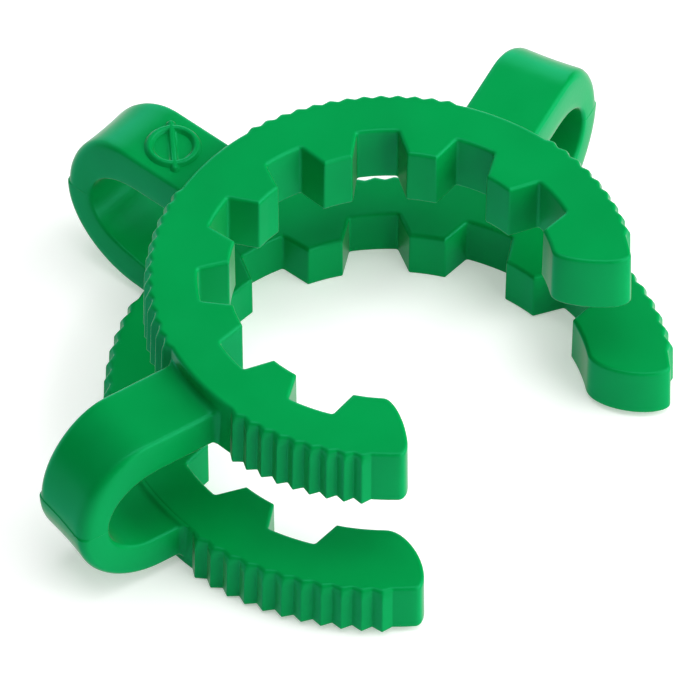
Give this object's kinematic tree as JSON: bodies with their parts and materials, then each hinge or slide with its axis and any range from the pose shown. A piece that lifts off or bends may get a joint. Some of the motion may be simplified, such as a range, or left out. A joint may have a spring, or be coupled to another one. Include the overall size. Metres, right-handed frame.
{
  "type": "ground-glass joint clip",
  "caption": "Spring clip with open toothed rings tied by sprung loops; it snaps over a conical ground-glass joint and holds it shut.",
  "frame": {"origin": "on the common axis of both rings, level with the bottom face of the lower, larger ring", "axes": "+Z along the bore axis from the larger ring to the smaller one; +Y to the middle loop; the mouth opens to -Y; +X across, and the clip is the same on both sides of X = 0"},
  "size_m": [0.0542, 0.0415, 0.015],
  "materials": {
    "green_acetal": "satin moulded acetal"
  },
  "bodies": {
    "upper_ring": {"upper_ring_back": "green_acetal", "middle_loop_upper": "green_acetal", "size_mark": "green_acetal"},
    "left_arm": {"upper_left_arm": "green_acetal", "left_loop_upper": "green_acetal"},
    "right_arm": {"upper_right_arm": "green_acetal", "right_loop_upper": "green_acetal"},
    "lower_ring": {"lower_ring_back": "green_acetal", "middle_loop_lower": "green_acetal"},
    "left_arm_lower": {"lower_left_arm": "green_acetal", "left_loop_lower": "green_acetal"},
    "right_arm_lower": {"lower_right_arm": "green_acetal", "right_loop_lower": "green_acetal"}
  },
  "joints": [
    {"name": "left_arm_flex", "type": "hinge", "parent": "upper_ring", "child": "left_arm", "pos_m": [-0.00611, 0.01511, 0], "axis": [0, 0, -1], "range_deg": [0, 8], "stiffness_Nm_per_rad": 4},
    {"name": "right_arm_flex", "type": "hinge", "parent": "upper_ring", "child": "right_arm", "pos_m": [0.00611, 0.01511, 0], "axis": [0, 0, 1], "range_deg": [0, 8], "stiffness_Nm_per_rad": 4},
    {"name": "ring_spread", "type": "slide", "parent": "upper_ring", "child": "lower_ring", "axis": [0, 0, -1], "range_m": [0, 0.0015], "stiffness_N_per_m": 4000},
    {"name": "left_loop_spread", "type": "slide", "parent": "left_arm", "child": "left_arm_lower", "axis": [0, 0, -1], "range_m": [0, 0.0015], "stiffness_N_per_m": 4000},
    {"name": "right_loop_spread", "type": "slide", "parent": "right_arm", "child": "right_arm_lower", "axis": [0, 0, -1], "range_m": [0, 0.0015], "stiffness_N_per_m": 4000}
  ],
  "couplings": [
    {"joint": "left_loop_spread", "follows": "ring_spread", "ratio": 1},
    {"joint": "right_loop_spread", "follows": "ring_spread", "ratio": 1}
  ]
}
